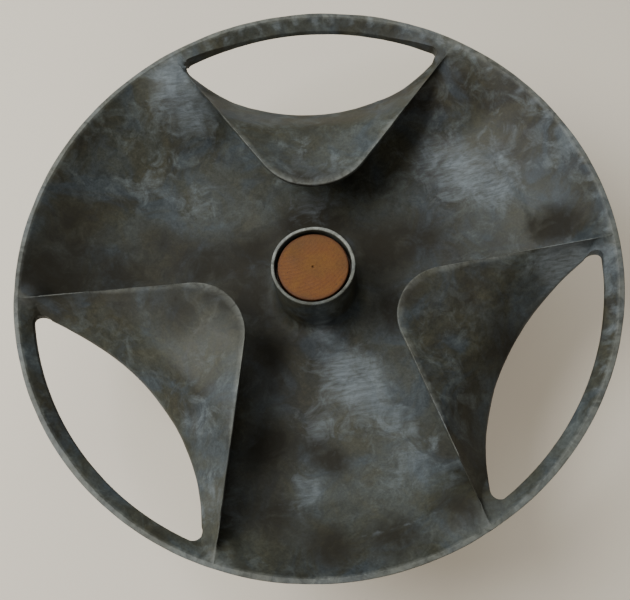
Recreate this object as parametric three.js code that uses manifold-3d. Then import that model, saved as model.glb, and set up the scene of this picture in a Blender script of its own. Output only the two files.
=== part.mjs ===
// A three-lobed stone wheel head that turns on a fixed wooden post, and the foot that holds the post.
// Millimetres, +Z up. The origin is on the floor, on the wheel's axis.
import * as THREE from "three";
import { mergeVertices } from "three/addons/utils/BufferGeometryUtils.js";
import { ParametricGeometry } from "three/addons/geometries/ParametricGeometry.js";
import Module from "manifold-3d";

const wasm = await Module();
wasm.setup();

// Driving dimensions
const RIM_R = 305; // outer radius of the stone wheel head
const HEAD_H = 106; // its height, foot to rim
const HEAD_Z = 98; // height of its foot above the floor
const RIM_LAND = 5; // width of the flat top of the rim
const DISH_DEPTH = 74; // rim down to the inside floor of the dish
const FLOOR_T = 8; // stone thickness of that floor
const DISH_START = 45; // radius where the wall begins to rise
const WALL_POWER = 3.5; // how late the dish wall turns up
const UNDER_POWER = 3.6; // and how late its underside does
const BORE_R = 39; // hole through the hub
const HUB_R = 42.5; // outside of the hub at its lip
const HUB_FLARE = [[0.8, 24], [3.5, 9], [10, 2]]; // out from HUB_R, and up from the dish floor
const RING_IN_R = 289; // inner edge of the ring over the three openings
const FOOT_R = 58; // boss under the hub
const FOOT_FLARE = [[3, 13], [0, 9]]; // out from FOOT_R, and up from the foot
const TOP_Z = HEAD_Z + HEAD_H; // rim, tongue tips and hub lip lie in this plane

// The three lobes are carved by hand, so each is a little different. Angles are in degrees round the axis.
// tip: the circle that rounds the free edge; ends: where its straight sides reach the rim;
// nose: the direction and the distance of the fold between dish and tongue.
const LOBES = [
  { tipAt: 80, tipOut: 156, tipR: 66, ends: [49, 112], noseAt: 81, noseOut: 200 },
  { tipAt: 200.3, tipOut: 140, tipR: 55, ends: [175.4, 243.2], noseAt: 208.6, noseOut: 198 },
  { tipAt: 328, tipOut: 143, tipR: 50, ends: [292, 355.1], noseAt: 324.4, noseOut: 205 },
];
const NOSE_ARC_R = 240; // radius of the fold in plan
const NOSE_RISE = 15; // how far the tongue's outer face starts above the dish floor
const NOSE_BULGE = 5; // how far the fold rounds out into the opening
const EDGE_END_R = 303; // where a free edge runs into the rim
const NOSE_END_R = 296; // where a fold runs into the ring
const TONGUE_T = 6; // thickness of the tongue at its free edge
const TONGUE_POWER = 1.9; // how soon the tongue's outer face flattens towards its tip

const POST_R = 36; // post inside the hub
const POST_RECESS = 4; // its end lies this far below the hub lip
const SHOULDER_R = 56;
const SHOULDER_Z = [72.3, 90];
const SHOULDER_BEVEL = [3, 2]; // below and above
const TENON_R = 26; // post inside the centre block
const BUSH_T = 2.3; // wall of the leather sleeves in the bore
const BUSH_H = 26;
const BUSH_INSET = [2, 14]; // lower sleeve above the foot, upper sleeve below the rim
const WASHER_T = 3;
const WEAR_RING_T = 4;
const WASHER_PLAY = [1, 1.5]; // room round the post inside the washer, and inside the wear ring
const GAP = 0.3; // between pieces that touch

const BLOCK_Z = [12, 72];
const BLOCK_FLAT = 75; // axis to each flat of the six-sided block
const BLOCK_BEVEL = 4;
const LEG_AT = [22, 142, 262]; // directions of the three legs, under the solid sectors
const LEG_END = 235;
const LEG_W = 38;
const LEG_ROOT_Z = [14, 50]; // the leg where it meets the block
const TOE_R = 10;
const PAD_T = 5;
const PAD_R = 17;
const PAD_OUT = 212; // axis to the middle of a pad
const PAD_PEG_R = 3;
const PAD_PEG_Z = [1.5, 19];
const PAD_PEG_HOLE_H = 20;
const LEG_TENON = { w: 24, z: [20, 44], in: 42 };
const LEG_PEG_OUT = 60;
const LEG_PEG_R = 5;
const POST_PIN_R = 6;
const POST_PIN_Z = 59;
const KERF_W = 4; // saw cut in the post's lower end for its wedge
const KERF_H = 30;
const WEDGE_H = 26;
const WEDGE_TAPER = 0.9; // each side, from bottom to top
const PAST = 5; // how far a cutting shape runs past the face it cuts

// Sides of the round shapes
const DISH_SIDES = 80;
const LENS_SIDES = 96;
const BORE_SIDES = 48;
const PEG_SIDES = 20;

const STONE = { color: 0x3f4341, roughness: 0.55, metalness: 0 };
const POST_WOOD = { color: 0xa0602f, roughness: 0.6, metalness: 0 };
const FOOT_WOOD = { color: 0x6d4526, roughness: 0.65, metalness: 0 };
const PEG_WOOD = { color: 0x8a5a33, roughness: 0.6, metalness: 0 };
const LEATHER = { color: 0x3a2418, roughness: 0.7, metalness: 0 };

const radians = THREE.MathUtils.degToRad;

// A point at a distance and a direction from the axis.
function polar(r, degrees) {
  return new THREE.Vector2(r * Math.cos(radians(degrees)), r * Math.sin(radians(degrees)));
}

function add(parent, name, geometry, finish) {
  const mesh = new THREE.Mesh(geometry, new THREE.MeshStandardMaterial(finish));
  mesh.name = name;
  parent.add(mesh);
  return mesh;
}

// A three.js geometry as a solid that can be cut and joined.
function solid(geometry) {
  const bare = geometry.clone();
  bare.deleteAttribute("normal");
  bare.deleteAttribute("uv");
  const merged = mergeVertices(bare, 1e-3);
  const index = merged.index.array;
  const whole = [];
  for (let i = 0; i < index.length; i += 3) {
    const [a, b, c] = [index[i], index[i + 1], index[i + 2]];
    if (a !== b && b !== c && c !== a) whole.push(a, b, c);
  }
  return new wasm.Manifold(
    new wasm.Mesh({
      numProp: 3,
      vertProperties: merged.attributes.position.array,
      triVerts: new Uint32Array(whole),
    }),
  );
}

function geometryOf(cut) {
  const made = cut.getMesh();
  const geometry = new THREE.BufferGeometry();
  geometry.setAttribute("position", new THREE.BufferAttribute(made.vertProperties, 3));
  geometry.setIndex(new THREE.BufferAttribute(made.triVerts, 1));
  return geometry;
}

// A closed profile of [radius, height] points, turned round the Z axis.
function turned(profile, segments) {
  const points = [...profile, profile[0]].map(([r, z]) => new THREE.Vector2(r, z));
  return new THREE.LatheGeometry(points, segments).rotateX(Math.PI / 2);
}

// A round bar along Z from z0 to z1.
function rod(r, z0, z1, segments) {
  const bar = new THREE.CylinderGeometry(r, r, z1 - z0, segments).rotateX(Math.PI / 2);
  return bar.translate(0, 0, (z0 + z1) / 2);
}

function box(x0, x1, width, z0, z1) {
  const geometry = new THREE.BoxGeometry(x1 - x0, width, z1 - z0);
  return geometry.translate((x0 + x1) / 2, 0, (z0 + z1) / 2);
}

// Height of the dish's inside at a distance from the axis.
function insideZ(r) {
  const t = Math.max(0, (r - DISH_START) / (RIM_R - RIM_LAND - DISH_START));
  return TOP_Z - DISH_DEPTH * (1 - t ** WALL_POWER);
}

function undersideZ(r) {
  const t = Math.max(0, (r - DISH_START) / (RIM_R - DISH_START));
  return TOP_Z - (DISH_DEPTH + FLOOR_T) * (1 - t ** UNDER_POWER);
}

// Dish, rim, hub tube and foot boss, before the lobes are cut.
function dishProfile() {
  const floorZ = TOP_Z - DISH_DEPTH;
  const profile = [[BORE_R, HEAD_Z], [BORE_R, TOP_Z], [HUB_R, TOP_Z]];
  for (const [out, up] of HUB_FLARE) profile.push([HUB_R + out, floorZ + up]);
  const stops = [75, 130, 170, 205, 235, 260, 278, 291];
  for (const r of stops) profile.push([r, insideZ(r)]);
  profile.push([RIM_R - RIM_LAND, TOP_Z], [RIM_R, TOP_Z]);
  const underStops = stops.map((r) => r + RIM_LAND / 2).reverse();
  for (const r of underStops) profile.push([r, undersideZ(r)]);
  for (const [out, up] of FOOT_FLARE) profile.push([FOOT_R + out, HEAD_Z + up]);
  profile.push([FOOT_R, HEAD_Z]);
  return profile.reverse();
}

// The lens between the ring and the fold, right through the wall.
function opening(lobe) {
  const out = polar(lobe.noseOut + NOSE_ARC_R, lobe.noseAt);
  const ring = rod(RING_IN_R, HEAD_Z, TOP_Z + PAST, LENS_SIDES);
  const fold = rod(NOSE_ARC_R, HEAD_Z, TOP_Z + PAST, LENS_SIDES).translate(out.x, out.y, 0);
  return solid(ring).intersect(solid(fold));
}

// The free edge in plan: two straight sides that run into a round tip.
function edgeCurve(lobe) {
  const middle = polar(lobe.tipOut, lobe.tipAt);
  const sides = lobe.ends.map((end, i) => {
    const start = polar(EDGE_END_R, end);
    const reach = start.clone().sub(middle);
    const turn = Math.acos(lobe.tipR / reach.length()) * (i === 0 ? -1 : 1);
    return { start, angle: reach.angle() + turn };
  });
  const touch = sides.map(({ angle }) =>
    new THREE.Vector2(Math.cos(angle), Math.sin(angle)).multiplyScalar(lobe.tipR).add(middle),
  );
  const path = new THREE.CurvePath();
  path.add(new THREE.LineCurve(sides[0].start, touch[0]));
  path.add(new THREE.EllipseCurve(
    middle.x, middle.y, lobe.tipR, lobe.tipR, sides[0].angle, sides[1].angle, true,
  ));
  path.add(new THREE.LineCurve(touch[1], sides[1].start));
  return path;
}

// The fold in plan, from the ring on one side to the ring on the other.
function noseCurve(lobe) {
  const out = lobe.noseOut + NOSE_ARC_R;
  const along = (out ** 2 + NOSE_END_R ** 2 - NOSE_ARC_R ** 2) / (2 * out);
  const half = Math.asin(Math.sqrt(NOSE_END_R ** 2 - along ** 2) / NOSE_ARC_R);
  const middle = polar(out, lobe.noseAt);
  const back = radians(lobe.noseAt + 180);
  return new THREE.EllipseCurve(
    middle.x, middle.y, NOSE_ARC_R, NOSE_ARC_R, back + half, back - half, true,
  );
}

// One section across a tongue, at u from 0 to 1 along it: round the fold, up the outer face to the free
// edge, and back along the inner face.
function tongueSection(from, to, u) {
  const outward = from.clone().sub(to).normalize();
  const swell = 1 - (2 * u - 1) ** 2;
  const r = from.length();
  const low = undersideZ(r + 2) + 0.5;
  const foldZ = Math.min(insideZ(r) + NOSE_RISE * swell, TOP_Z - RIM_LAND);
  const faceZ = (w) => foldZ + (TOP_Z - foldZ) * (1 - (1 - w) ** TONGUE_POWER);
  const innerZ = (w) => Math.max(faceZ(w) - TONGUE_T * (1.5 - 0.5 * w), low);
  const at = (w, z) => {
    const p = from.clone().lerp(to, w);
    return new THREE.Vector3(p.x, p.y, z);
  };
  const front = at(0, (low + foldZ) / 2);
  front.x += outward.x * NOSE_BULGE * swell;
  front.y += outward.y * NOSE_BULGE * swell;
  const face = [0, 0.1, 0.24, 0.44, 0.7, 1];
  const back = face.slice(1).reverse();
  return [
    at(0, low),
    front,
    ...face.map((w) => at(w, faceZ(w))),
    ...back.map((w) => at(w, innerZ(w))),
  ];
}

// A tongue: the dish wall folded back over the floor.
function tongue(lobe) {
  const edge = edgeCurve(lobe);
  const nose = noseCurve(lobe);
  const steps = 24;
  const sections = [];
  for (let i = 0; i <= steps; i += 1) {
    const u = i / steps;
    sections.push(tongueSection(nose.getPointAt(u), edge.getPointAt(u), u));
  }
  const count = sections[0].length;
  const middleOf = (points) =>
    points.reduce((sum, p) => sum.add(p), new THREE.Vector3()).divideScalar(count);
  const rows = [
    new Array(count).fill(middleOf(sections[0])),
    ...sections,
    new Array(count).fill(middleOf(sections[steps])),
  ];
  const surface = (v, u, target) => {
    const row = rows[Math.round(u * (rows.length - 1))];
    target.copy(row[(count - Math.round(v * count)) % count]);
  };
  return solid(new ParametricGeometry(surface, count, rows.length - 1));
}

// The stone wheel head: one carved piece.
function wheelHead() {
  let head = solid(turned(dishProfile(), DISH_SIDES));
  for (const lobe of LOBES) head = head.subtract(opening(lobe));
  for (const lobe of LOBES) head = head.add(tongue(lobe));
  return geometryOf(head);
}

// A leather sleeve glued in the bore, in which the post runs.
function bush(z0) {
  const outer = BORE_R - GAP;
  return flatRing(outer - BUSH_T, outer, z0, z0 + BUSH_H);
}

function flatRing(inner, outer, z0, z1, sides = BORE_SIDES) {
  return turned([[inner, z0], [outer, z0], [outer, z1], [inner, z1]], sides);
}

// The post: its end shows in the hub, its shoulder carries the wheel and its tenon goes through the block.
function post() {
  const top = TOP_Z - POST_RECESS;
  const foot = BLOCK_Z[0];
  const [under, over] = SHOULDER_Z;
  const [underBevel, overBevel] = SHOULDER_BEVEL;
  const turnedPost = solid(turned([
    [0, foot],
    [TENON_R, foot],
    [TENON_R, under],
    [SHOULDER_R - underBevel, under],
    [SHOULDER_R, under + underBevel],
    [SHOULDER_R, over - overBevel],
    [SHOULDER_R - overBevel, over],
    [POST_R, over],
    [POST_R, top - 1],
    [POST_R - 1, top],
    [0, top],
  ], BORE_SIDES));
  const pinHole = solid(postPinBar(POST_PIN_R + GAP, 2 * BLOCK_FLAT));
  const kerf = solid(box(-TENON_R - PAST, TENON_R + PAST, KERF_W, foot - PAST, foot + KERF_H));
  return geometryOf(turnedPost.subtract(pinHole).subtract(kerf));
}

// The cross pin's bar lies level, a quarter turn from the first leg.
function postPinBar(r, length) {
  const bar = new THREE.CylinderGeometry(r, r, length, PEG_SIDES).translate(0, 0, POST_PIN_Z);
  return bar.rotateZ(radians(LEG_AT[0]));
}

// A wedge driven up into the saw cut.
function postWedge() {
  const half = KERF_W / 2 - GAP;
  const outline = new THREE.Shape();
  outline.moveTo(-half, 0);
  outline.lineTo(half, 0);
  outline.lineTo(half - WEDGE_TAPER, WEDGE_H);
  outline.lineTo(-half + WEDGE_TAPER, WEDGE_H);
  const length = 2 * (TENON_R - 3);
  const wedge = new THREE.ExtrudeGeometry(outline, { depth: length, bevelEnabled: false });
  wedge.translate(0, 0, -length / 2).rotateX(Math.PI / 2).rotateZ(Math.PI / 2);
  return wedge.translate(0, 0, BLOCK_Z[0]);
}

// The six-sided block: bored for the post, mortised for three legs.
function centreBlock() {
  const cornerR = BLOCK_FLAT / Math.cos(Math.PI / 6);
  const [low, high] = BLOCK_Z;
  const stack = [
    [cornerR - BLOCK_BEVEL, low],
    [cornerR, low + BLOCK_BEVEL],
    [cornerR, high - BLOCK_BEVEL],
    [cornerR - BLOCK_BEVEL, high],
    [0, high],
    [0, low],
  ];
  let block = solid(turned(stack, 6).rotateZ(radians(LEG_AT[0])));
  block = block.subtract(solid(rod(TENON_R + GAP, low - PAST, high + PAST, BORE_SIDES)));
  block = block.subtract(solid(postPinBar(POST_PIN_R + GAP, 3 * BLOCK_FLAT)));
  const { w, z, in: inner } = LEG_TENON;
  for (const at of LEG_AT) {
    const mortise = box(inner - GAP, 2 * BLOCK_FLAT, w + 2 * GAP, z[0] - GAP, z[1] + GAP);
    block = block.subtract(solid(mortise.rotateZ(radians(at))));
    const pegHole = rod(LEG_PEG_R + GAP, z[0] - PAST, high + PAST, PEG_SIDES);
    pegHole.translate(LEG_PEG_OUT, 0, 0).rotateZ(radians(at));
    block = block.subtract(solid(pegHole));
  }
  return geometryOf(block);
}

// A leg along +X: a tapered foot with an arched underside, and a tenon at its inner end.
function leg() {
  const sole = PAD_T + GAP;
  const side = new THREE.Shape();
  const root = BLOCK_FLAT + GAP;
  side.moveTo(root, LEG_ROOT_Z[0]);
  side.quadraticCurveTo(130, 18, 184, sole + 4);
  side.lineTo(190, sole);
  side.lineTo(LEG_END - 2, sole);
  side.absarc(LEG_END - TOE_R, sole + TOE_R, TOE_R, -Math.PI / 4, Math.PI / 2, false);
  side.quadraticCurveTo(150, 31, root, LEG_ROOT_Z[1]);
  const options = { depth: LEG_W, bevelEnabled: false, curveSegments: 8 };
  const slab = new THREE.ExtrudeGeometry(side, options);
  slab.translate(0, 0, -LEG_W / 2).rotateX(Math.PI / 2);
  const { w, z, in: inner } = LEG_TENON;
  const pegHole = rod(LEG_PEG_R + GAP, 0, BLOCK_Z[1], PEG_SIDES).translate(LEG_PEG_OUT, 0, 0);
  const padPegHole = rod(PAD_PEG_R + GAP, 0, PAD_PEG_HOLE_H, PEG_SIDES).translate(PAD_OUT, 0, 0);
  const whole = solid(slab).add(solid(box(inner, root + PAST, w, z[0], z[1])));
  return geometryOf(whole.subtract(solid(pegHole)).subtract(solid(padPegHole)));
}

const part = new THREE.Group();

const wheel = new THREE.Group();
part.add(wheel);
add(wheel, "wheel_head", wheelHead(), STONE);
add(wheel, "upper_bush", bush(TOP_Z - BUSH_INSET[1] - BUSH_H), LEATHER);
add(wheel, "lower_bush", bush(HEAD_Z + BUSH_INSET[0]), LEATHER);
const ringTop = HEAD_Z - GAP;
const wearRing = flatRing(POST_R + WASHER_PLAY[1], FOOT_R - 1, ringTop - WEAR_RING_T, ringTop);
add(wheel, "wear_ring", wearRing, PEG_WOOD);

const stand = new THREE.Group();
part.add(stand);
add(stand, "post", post(), POST_WOOD);
const washerZ = SHOULDER_Z[1] + GAP;
const washer = flatRing(POST_R + WASHER_PLAY[0], SHOULDER_R - 1, washerZ, washerZ + WASHER_T);
add(stand, "thrust_washer", washer, LEATHER);
add(stand, "centre_block", centreBlock(), FOOT_WOOD);
add(stand, "post_pin", postPinBar(POST_PIN_R, 2 * BLOCK_FLAT - 4), PEG_WOOD);
add(stand, "post_wedge", postWedge(), PEG_WOOD);

LEG_AT.forEach((at, i) => {
  const limb = new THREE.Group();
  limb.rotation.z = radians(at);
  stand.add(limb);
  const number = i + 1;
  add(limb, `leg_${number}`, leg(), FOOT_WOOD);
  const peg = rod(LEG_PEG_R, LEG_TENON.z[0] - 2, BLOCK_Z[1] - 0.5, PEG_SIDES);
  add(limb, `leg_peg_${number}`, peg, PEG_WOOD).position.x = LEG_PEG_OUT;
  const pad = flatRing(PAD_PEG_R + GAP, PAD_R, 0, PAD_T, PEG_SIDES);
  add(limb, `foot_pad_${number}`, pad, LEATHER).position.x = PAD_OUT;
  const padPeg = rod(PAD_PEG_R, PAD_PEG_Z[0], PAD_PEG_Z[1], PEG_SIDES);
  add(limb, `pad_peg_${number}`, padPeg, PEG_WOOD).position.x = PAD_OUT;
});

export default part;
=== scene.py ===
"""A three-lobed stone wheel head on a turned wooden post, held by a pegged wooden tripod foot."""

import math

import bmesh
import bpy
import numpy as np
from mathutils import Matrix, Vector, noise


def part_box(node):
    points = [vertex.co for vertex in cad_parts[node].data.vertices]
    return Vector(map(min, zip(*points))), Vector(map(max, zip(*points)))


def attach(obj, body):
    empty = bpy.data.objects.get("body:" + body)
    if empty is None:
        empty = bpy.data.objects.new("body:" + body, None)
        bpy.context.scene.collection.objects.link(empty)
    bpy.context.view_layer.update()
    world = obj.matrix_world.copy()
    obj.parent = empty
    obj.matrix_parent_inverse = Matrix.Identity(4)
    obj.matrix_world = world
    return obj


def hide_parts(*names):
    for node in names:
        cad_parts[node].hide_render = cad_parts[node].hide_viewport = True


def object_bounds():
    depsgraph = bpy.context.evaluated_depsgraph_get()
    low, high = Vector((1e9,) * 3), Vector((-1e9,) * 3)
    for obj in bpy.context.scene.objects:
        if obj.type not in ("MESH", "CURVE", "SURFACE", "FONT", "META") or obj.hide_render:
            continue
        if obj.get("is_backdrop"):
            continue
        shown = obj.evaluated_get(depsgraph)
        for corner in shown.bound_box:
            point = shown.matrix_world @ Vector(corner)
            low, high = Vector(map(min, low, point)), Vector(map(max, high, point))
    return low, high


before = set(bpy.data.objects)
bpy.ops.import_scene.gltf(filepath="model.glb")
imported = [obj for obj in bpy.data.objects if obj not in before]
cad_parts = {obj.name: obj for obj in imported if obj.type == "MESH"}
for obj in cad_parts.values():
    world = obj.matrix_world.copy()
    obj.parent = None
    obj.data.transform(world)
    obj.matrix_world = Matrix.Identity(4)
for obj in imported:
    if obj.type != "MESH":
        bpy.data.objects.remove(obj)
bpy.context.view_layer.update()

# -----------------------------------------------------------------------------
# Centre block
# The heart of the foot: a six-sided block of brown hardwood, bored for the post and mortised for three legs.
# Planed by hand, its long edges eased with a knife and rubbed with wax.
# -----------------------------------------------------------------------------
mm = 0.001
gap = 0.3 * mm
leg_angles = [22, 142, 262]
block_low, block_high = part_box("centre_block")
block_flat = 75 * mm
tenon_r = 26 * mm
pin_r = 6 * mm
pin_z = 59 * mm
leg_tenon_w = 24 * mm
leg_tenon_z = (20 * mm, 44 * mm)
leg_peg_r = 5 * mm
leg_peg_out = 60 * mm
leg_tenon_in = 42 * mm
pin_hole_half = 120 * mm
# How far a cutting tool reaches past the piece it cuts.
tool_over = 10 * mm


def add(name, data):
    """A new object in the scene, at the origin."""
    thing = bpy.data.objects.new(name, data)
    bpy.context.scene.collection.objects.link(thing)
    return thing


def new_piece(name, mesh, material):
    """A mesh as a finished piece, shaded smooth."""
    piece = add(name, mesh)
    mesh.materials.clear()
    mesh.materials.append(material)
    mesh.shade_smooth()
    return piece


def mesh_of(name, points, faces):
    mesh = bpy.data.meshes.new(name)
    mesh.from_pydata([tuple(p) for p in points], [], faces)
    mesh.validate()
    return mesh


def turned_mesh(name, profile, sides, start=0.0):
    """A closed outline of (radius, height) points turned round the Z axis; points on the axis make a pole."""
    points = []
    rows = []
    for radius, height in profile:
        if radius < 1e-7:
            rows.append([len(points)] * sides)
            points.append((0, 0, height))
            continue
        rows.append(list(range(len(points), len(points) + sides)))
        for i in range(sides):
            angle = start + 2 * math.pi * i / sides
            points.append((radius * math.cos(angle), radius * math.sin(angle), height))
    faces = []
    for row, above in zip(rows, rows[1:] + rows[:1]):
        for i in range(sides):
            j = (i + 1) % sides
            corners = list(dict.fromkeys((row[i], row[j], above[j], above[i])))
            if len(corners) > 2:
                faces.append(corners)
    mesh = mesh_of(name, points, faces)
    face_out(mesh)
    return mesh


def face_out(mesh):
    """Merges doubled points and turns every face outwards."""
    work = bmesh.new()
    work.from_mesh(mesh)
    bmesh.ops.remove_doubles(work, verts=work.verts, dist=1e-6)
    bmesh.ops.recalc_face_normals(work, faces=work.faces)
    work.to_mesh(mesh)
    work.free()


def box_mesh(name, low, high):
    work = bmesh.new()
    bmesh.ops.create_cube(work, size=1)
    size = Vector(high) - Vector(low)
    middle = (Vector(high) + Vector(low)) / 2
    place = Matrix.Translation(middle) @ Matrix.Diagonal((*size, 1))
    bmesh.ops.transform(work, matrix=place, verts=work.verts)
    mesh = bpy.data.meshes.new(name)
    work.to_mesh(mesh)
    work.free()
    return mesh


def rod_mesh(name, radius, low, high, sides=48):
    return turned_mesh(name, [(0, low), (radius, low), (radius, high), (0, high)], sides)


def corner(x, z, radius, first, last, steps=6):
    """Points round a rounded corner whose middle is at (x, z)."""
    angles = np.radians(np.linspace(first, last, steps))
    return [(x + radius * math.cos(a), z + radius * math.sin(a)) for a in angles]


def cut(piece, tools, operation="DIFFERENCE"):
    """Cuts or joins meshes into a piece and leaves a plain mesh."""
    for mesh in tools:
        tool = add("tool", mesh)
        change = piece.modifiers.new("cut", "BOOLEAN")
        change.object = tool
        change.operation = operation
        change.solver = "MANIFOLD"
        settle(piece)
        bpy.data.objects.remove(tool)


def settle(piece):
    """Turns a piece and its modifiers into one plain mesh."""
    bpy.context.view_layer.update()
    graph = bpy.context.evaluated_depsgraph_get()
    made = bpy.data.meshes.new_from_object(piece.evaluated_get(graph))
    made.name = piece.name
    materials = list(piece.data.materials)
    piece.modifiers.clear()
    piece.data = made
    made.materials.clear()
    for material in materials:
        made.materials.append(material)


def ease_edges(piece, width, steps=3, angle=35):
    """Rounds a piece's sharp edges, as a knife or a rubbing stone does."""
    bevel = piece.modifiers.new("eased", "BEVEL")
    bevel.width = width
    bevel.segments = steps
    bevel.limit_method = "ANGLE"
    bevel.angle_limit = math.radians(angle)
    bevel.harden_normals = False
    settle(piece)
    weigh = piece.modifiers.new("faces", "WEIGHTED_NORMAL")
    weigh.keep_sharp = True
    settle(piece)


class Nodes:
    """Writes a material's node tree: each call adds one node and returns its output socket."""

    def __init__(self, name, roughness):
        self.material = bpy.data.materials.new(name)
        self.material.use_nodes = True
        self.tree = self.material.node_tree
        self.shader = self.tree.nodes["Principled BSDF"]
        self.shader.inputs["Roughness"].default_value = roughness

    def join(self, source, socket):
        if isinstance(source, bpy.types.NodeSocket):
            self.tree.links.new(source, socket)
        else:
            socket.default_value = source

    def place(self, scale=(1, 1, 1), turn=(0, 0, 0), attribute=None):
        """Object coordinates, or a named attribute, scaled and turned."""
        if attribute:
            start = self.tree.nodes.new("ShaderNodeAttribute")
            start.attribute_name = attribute
            source = start.outputs["Vector"]
        else:
            source = self.tree.nodes.new("ShaderNodeTexCoord").outputs["Object"]
        mapping = self.tree.nodes.new("ShaderNodeMapping")
        self.tree.links.new(source, mapping.inputs["Vector"])
        mapping.inputs["Rotation"].default_value = [math.radians(a) for a in turn]
        mapping.inputs["Scale"].default_value = scale
        return mapping.outputs["Vector"]

    def split(self, vector):
        """The three parts of a vector."""
        node = self.tree.nodes.new("ShaderNodeSeparateXYZ")
        self.tree.links.new(vector, node.inputs[0])
        return node.outputs

    def noise(self, vector, scale, detail=4.0, rough=0.55, distortion=0.0):
        node = self.tree.nodes.new("ShaderNodeTexNoise")
        self.tree.links.new(vector, node.inputs["Vector"])
        node.inputs["Scale"].default_value = scale
        node.inputs["Detail"].default_value = detail
        node.inputs["Roughness"].default_value = rough
        node.inputs["Distortion"].default_value = distortion
        return node.outputs["Fac"]

    def ramp(self, factor, stops):
        node = self.tree.nodes.new("ShaderNodeValToRGB")
        self.join(factor, node.inputs["Fac"])
        ends = node.color_ramp.elements
        while len(ends) < len(stops):
            ends.new(0.5)
        for end, (position, value) in zip(ends, stops):
            end.position = position
            colour = (value,) * 3 if isinstance(value, (int, float)) else value
            end.color = (*colour, 1)
        return node.outputs["Color"]

    def mix(self, factor, first, second, blend="MIX"):
        node = self.tree.nodes.new("ShaderNodeMix")
        node.data_type = "RGBA"
        node.blend_type = blend
        self.join(factor, node.inputs[0])
        for value, socket in ((first, node.inputs[6]), (second, node.inputs[7])):
            self.join(value if isinstance(value, bpy.types.NodeSocket) else (*value, 1), socket)
        return node.outputs[2]

    def math(self, operation, first, second=0.0, third=0.0):
        node = self.tree.nodes.new("ShaderNodeMath")
        node.operation = operation
        for value, socket in zip((first, second, third), node.inputs):
            self.join(value, socket)
        return node.outputs[0]

    def bump(self, height, strength, distance, under=None):
        node = self.tree.nodes.new("ShaderNodeBump")
        node.inputs["Strength"].default_value = strength
        node.inputs["Distance"].default_value = distance
        self.tree.links.new(height, node.inputs["Height"])
        if under:
            self.tree.links.new(under, node.inputs["Normal"])
        return node.outputs["Normal"]

    def finish(self, colour, roughness=None, normal=None):
        self.join(colour, self.shader.inputs["Base Color"])
        if roughness is not None:
            self.join(roughness, self.shader.inputs["Roughness"])
        if normal:
            self.join(normal, self.shader.inputs["Normal"])
        return self.material


def long_grain(name, dark, light, along, attribute=None, polish=0.6):
    """Planed wood with its grain along one axis: soft bands, fine dark pores and a few scuffs."""
    wood = Nodes(name, polish)
    stretch = [90, 90, 90]
    stretch[along] = 7
    band_place = wood.place(stretch, attribute=attribute)
    bands = wood.noise(band_place, 1.0, 5, 0.6, 0.6)
    fine = [620, 620, 620]
    fine[along] = 22
    pores = wood.noise(wood.place(fine, attribute=attribute), 1.0, 3, 0.6)
    scuff = wood.noise(wood.place((26, 26, 26), attribute=attribute), 1.0, 4, 0.6)
    colour = wood.ramp(bands, [(0.32, dark), (0.68, light)])
    pore_dark = wood.ramp(pores, [(0.3, 0.55), (0.48, 1.0)])
    colour = wood.mix(0.75, colour, pore_dark, "MULTIPLY")
    colour = wood.mix(wood.ramp(scuff, [(0.55, 0.0), (0.75, 0.35)]), colour, light)
    rough = wood.ramp(scuff, [(0.35, polish - 0.1), (0.7, polish + 0.14)])
    height = wood.math("ADD", wood.math("MULTIPLY", bands, 0.6), pores)
    return wood.finish(colour, rough, wood.bump(height, 0.35, 0.0004))


foot_wood = long_grain("foot_wood", (0.105, 0.05, 0.024), (0.26, 0.135, 0.062), along=2)


# The cross pin lies level, a quarter turn from the first leg.
pin_level = Matrix.Rotation(math.radians(leg_angles[0]), 4, "Z") @ Matrix.Rotation(math.radians(90), 4, "X")
pin_place = Matrix.Translation((0, 0, pin_z)) @ pin_level


def pin_hole():
    """The tool that bores the cross pin's hole."""
    bar = rod_mesh("pin_hole", pin_r + gap, -pin_hole_half, pin_hole_half, 32)
    bar.transform(pin_place)
    return bar


corner_r = block_flat / math.cos(math.radians(30))
block_mesh = turned_mesh(
    "centre_block_body",
    [(0, block_low.z), (corner_r, block_low.z), (corner_r, block_high.z), (0, block_high.z)],
    6,
    math.radians(leg_angles[0] + 30),
)
block = new_piece("centre_block_body", block_mesh, foot_wood)
block_cuts = [
    rod_mesh("post_hole", tenon_r + gap, block_low.z - tool_over, block_high.z + tool_over, 64),
    pin_hole(),
]
for angle in leg_angles:
    turn = Matrix.Rotation(math.radians(angle), 4, "Z")
    mortise = box_mesh(
        "mortise",
        (leg_tenon_in - gap, -leg_tenon_w / 2 - gap, leg_tenon_z[0] - gap),
        (2 * block_flat, leg_tenon_w / 2 + gap, leg_tenon_z[1] + gap),
    )
    mortise.transform(turn)
    peg_hole = rod_mesh("peg_hole", leg_peg_r + gap, 16 * mm, block_high.z + tool_over, 24)
    peg_hole.transform(turn @ Matrix.Translation((leg_peg_out, 0, 0)))
    block_cuts += [mortise, peg_hole]
cut(block, block_cuts)
ease_edges(block, 1.6 * mm)
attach(block, "stand")
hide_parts("centre_block")

# -----------------------------------------------------------------------------
# Legs
# Three like feet of the same hardwood, sawn to a curved outline with an arch under each. A square tenon at
# the inner end goes into the block. One leg is shaped along +X and set round the axis by Geometry Nodes.
# -----------------------------------------------------------------------------
leg_end = 235 * mm
leg_w = 38 * mm
pad_t = 5 * mm
pad_out = 212 * mm
pad_peg_r = 3 * mm
leg_wood = long_grain("leg_wood", (0.105, 0.05, 0.024), (0.26, 0.135, 0.062), along=0, attribute="grain")


def curve_points(start, handle, end, count):
    """Points on a curve pulled towards one handle, without its first point."""
    made = []
    for i in range(1, count + 1):
        t = i / count
        a, b, c = (1 - t) ** 2, 2 * t * (1 - t), t * t
        made.append((a * start[0] + b * handle[0] + c * end[0], a * start[1] + b * handle[1] + c * end[1]))
    return made


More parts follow.
